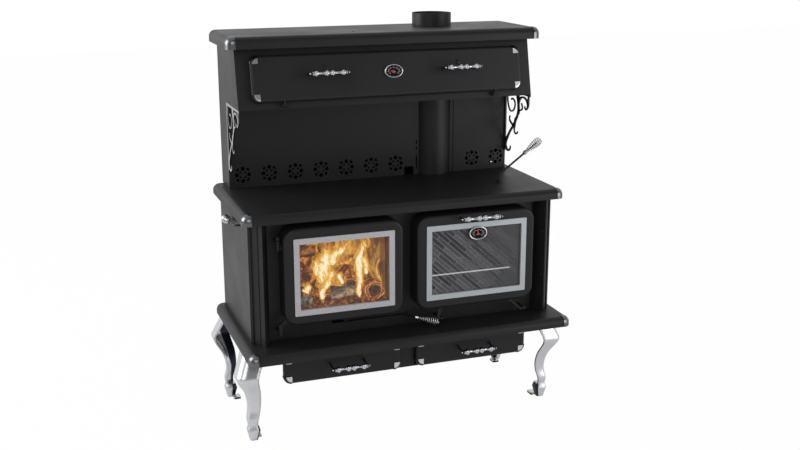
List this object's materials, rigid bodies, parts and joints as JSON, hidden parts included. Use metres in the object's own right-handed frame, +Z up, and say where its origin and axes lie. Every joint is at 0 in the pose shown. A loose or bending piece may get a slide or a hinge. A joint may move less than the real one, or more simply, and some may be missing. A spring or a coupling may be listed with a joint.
{
  "type": "wood cookstove",
  "caption": "Wood-burning cookstove on curved legs, with a glazed fire door and oven door, drawers below, a warming cabinet above and a flue collar.",
  "frame": {"origin": "on the floor, below the middle of the stove's outline", "axes": "+X to the stove's right seen from the front, +Y to its back, +Z up"},
  "size_m": [1.3286, 0.6748, 1.545],
  "materials": {
    "black_steel": "satin stove black, fine grain",
    "cast_black": "satin black casting",
    "bright_trim": "polished chrome",
    "leg_plating": "satin chrome over a cast surface",
    "fire_trim_plate": "light grey, speckled",
    "oven_trim_plate": "brushed grey",
    "clear_glass": "ceramic glass",
    "rope_seal": "woven rope",
    "bare_steel": "bare plate",
    "fire_brick": null,
    "rack_wire": "plated wire",
    "dial_face": "printed dial in a bright case",
    "fastener": "black round heads"
  },
  "bodies": {
    "stove": {"leg_front_left": "leg_plating", "leg_front_right": "leg_plating", "leg_back_left": "leg_plating", "leg_back_right": "leg_plating", "leg_bolts": "fastener", "base_shelf": "black_steel", "corner_caps": "bright_trim", "drawer_housing": "black_steel", "left_side_panel": "black_steel", "right_side_panel": "black_steel", "back_panel": "black_steel", "face_plate": "black_steel", "left_pilaster": "black_steel", "right_pilaster": "black_steel", "panel_screws": "fastener", "firebox_shell": "bare_steel", "firebricks": "fire_brick", "baffle": "fire_brick", "oven_shell": "bare_steel", "cook_top": "cast_black", "left_splash_panel": "black_steel", "right_splash_panel": "black_steel", "rear_shroud": "black_steel", "flue_pipe": "black_steel", "flue_collar": "black_steel", "warming_cabinet": "black_steel", "top_shelf": "black_steel", "left_scroll_bracket": "bright_trim", "right_scroll_bracket": "bright_trim", "hinge_lugs": "cast_black"},
    "fire_door": {"fire_door_frame": "cast_black", "fire_door_glass": "clear_glass", "fire_door_trim": "fire_trim_plate", "fire_door_gasket": "rope_seal", "fire_door_hinges": "cast_black"},
    "oven_door": {"oven_door_frame": "cast_black", "oven_door_glass": "clear_glass", "oven_door_trim": "oven_trim_plate", "oven_door_gasket": "rope_seal", "oven_door_hinges": "cast_black", "oven_door_handle": "bright_trim", "oven_dial": "dial_face"},
    "warming_door": {"warming_door_panel": "black_steel", "warming_door_corners": "bright_trim", "warming_door_handles": "bright_trim", "warming_dial": "dial_face"},
    "left_drawer_unit": {"left_drawer": "black_steel", "left_drawer_corners": "bright_trim", "left_drawer_handle": "bright_trim"},
    "right_drawer_unit": {"right_drawer": "black_steel", "right_drawer_corners": "bright_trim", "right_drawer_handle": "bright_trim"},
    "damper": {"damper_rod": "black_steel", "damper_handle": "bright_trim"},
    "side_control": {"side_lever": "black_steel", "side_lever_handle": "bright_trim"},
    "air_control": {"air_shutter": "black_steel", "air_shutter_handle": "bright_trim"},
    "rack": {"oven_rack": "rack_wire"}
  },
  "joints": [
    {"name": "fire_door_swing", "type": "hinge", "parent": "stove", "child": "fire_door", "pos_m": [-0.502, -0.228, 0.6], "axis": [0, 0, -1], "range_deg": [0, 110]},
    {"name": "oven_door_drop", "type": "hinge", "parent": "stove", "child": "oven_door", "pos_m": [0.262, -0.24, 0.4238], "axis": [1, 0, 0], "range_deg": [0, 90]},
    {"name": "warming_door_drop", "type": "hinge", "parent": "stove", "child": "warming_door", "pos_m": [0.008, -0.04256, 1.24766], "axis": [1, 0, 0], "range_deg": [0, 90]},
    {"name": "left_drawer_slide", "type": "slide", "parent": "stove", "child": "left_drawer_unit", "axis": [0, -1, 0], "range_m": [0, 0.3]},
    {"name": "right_drawer_slide", "type": "slide", "parent": "stove", "child": "right_drawer_unit", "axis": [0, -1, 0], "range_m": [0, 0.3]},
    {"name": "damper_turn", "type": "hinge", "parent": "stove", "child": "damper", "pos_m": [0.444, -0.053, 0.9], "axis": [0, 0, -1], "range_deg": [0, 90]},
    {"name": "side_control_swing", "type": "hinge", "parent": "stove", "child": "side_control", "pos_m": [-0.604, -0.086, 0.823], "axis": [-1, 0, 0], "range_deg": [0, 75]},
    {"name": "air_shutter_slide", "type": "slide", "parent": "stove", "child": "air_control", "axis": [-1, 0, 0], "range_m": [0, 0.045]},
    {"name": "oven_rack_slide", "type": "slide", "parent": "stove", "child": "rack", "axis": [0, -1, 0], "range_m": [0, 0.06]}
  ]
}
